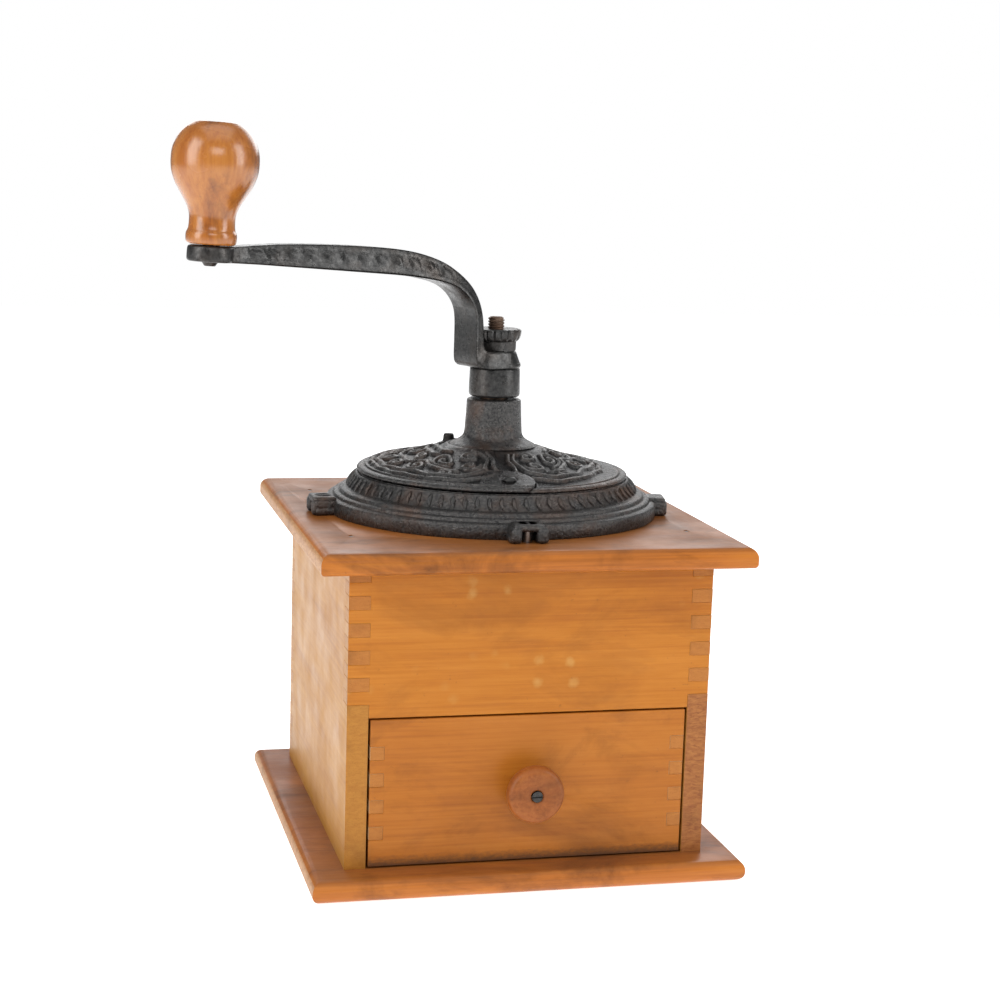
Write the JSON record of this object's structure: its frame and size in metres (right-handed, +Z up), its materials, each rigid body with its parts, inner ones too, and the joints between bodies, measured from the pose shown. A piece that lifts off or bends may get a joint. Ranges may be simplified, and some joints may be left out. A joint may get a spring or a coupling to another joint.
{
  "type": "hand crank coffee grinder",
  "caption": "Wooden box coffee mill with a cast iron hopper, swing-out lid, conical burrs under the top, a crank with a wooden knob, and a drawer for the grounds.",
  "frame": {"origin": "centre of the base board's underside, on the surface that the mill stands on", "axes": "+Z up along the spindle, -Y towards the drawer front, +X to the right of someone facing the drawer"},
  "size_m": [0.241, 0.196, 0.3142],
  "materials": {
    "box_wood": "old satin varnish over honey-coloured maple",
    "board_wood": "worn brown varnish",
    "plain_wood": "bare dry wood",
    "pull_wood": "satin, handled",
    "knob_wood": "glossy amber varnish, worn",
    "cast_iron": "pebbled casting with brown rust tints",
    "dark_iron": "dark handled iron",
    "rusty_steel": "rusty thread and journal",
    "steel": "aged plain steel"
  },
  "bodies": {
    "mill": {"base_board": "board_wood", "side_board_left": "box_wood", "side_board_right": "box_wood", "front_board": "box_wood", "back_board": "box_wood", "top_board": "board_wood", "base_nails": "dark_iron", "top_nails": "dark_iron", "hopper_casting": "cast_iron", "hopper_screws": "steel", "lid_rivet": "dark_iron", "grinding_case": "cast_iron", "case_screws": "steel", "outer_burr": "steel", "burr_set_screws": "steel", "bridge_bar": "cast_iron", "bridge_screws": "steel", "thrust_lock_nut": "steel"},
    "drawer": {"drawer_front": "box_wood", "drawer_side_left": "plain_wood", "drawer_side_right": "plain_wood", "drawer_back": "plain_wood", "drawer_bottom": "plain_wood", "drawer_knob": "pull_wood", "drawer_knob_screw": "dark_iron"},
    "lid": {"hopper_lid": "cast_iron"},
    "lift": {"thrust_disc": "steel"},
    "adjuster": {"thrust_screw": "steel"},
    "crankset": {"spindle": "rusty_steel", "spindle_collar": "dark_iron", "inner_burr": "steel", "burr_pin": "steel", "crank_arm": "dark_iron", "thumb_nut": "dark_iron", "knob_rivet": "dark_iron", "knob_washer": "dark_iron"},
    "knob": {"crank_knob": "knob_wood"}
  },
  "joints": [
    {"name": "drawer_slide", "type": "slide", "parent": "mill", "child": "drawer", "axis": [0, -1, 0], "range_m": [0, 0.12]},
    {"name": "lid_swing", "type": "hinge", "parent": "mill", "child": "lid", "pos_m": [-0.0046, -0.0512, 0.1625], "axis": [0, 0, 1], "range_deg": [0, 70]},
    {"name": "grind_adjust", "type": "slide", "parent": "mill", "child": "lift", "axis": [0, 0, 1], "range_m": [-0.0006, 0.0006]},
    {"name": "thrust_screw_turn", "type": "hinge", "parent": "lift", "child": "adjuster", "pos_m": [0, 0, 0.085], "axis": [0, 0, 1], "range_deg": [-217, 217]},
    {"name": "crank_turn", "type": "hinge", "parent": "lift", "child": "crankset", "pos_m": [0, 0, 0.2], "axis": [0, 0, 1], "continuous": true},
    {"name": "knob_spin", "type": "hinge", "parent": "crankset", "child": "knob", "pos_m": [-0.13164, -0.05053, 0.2645], "axis": [0.0489, 0.0188, 0.9986], "continuous": true}
  ],
  "couplings": [
    {"joint": "thrust_screw_turn", "follows": "grind_adjust", "rad_per_m": 6283.2}
  ]
}
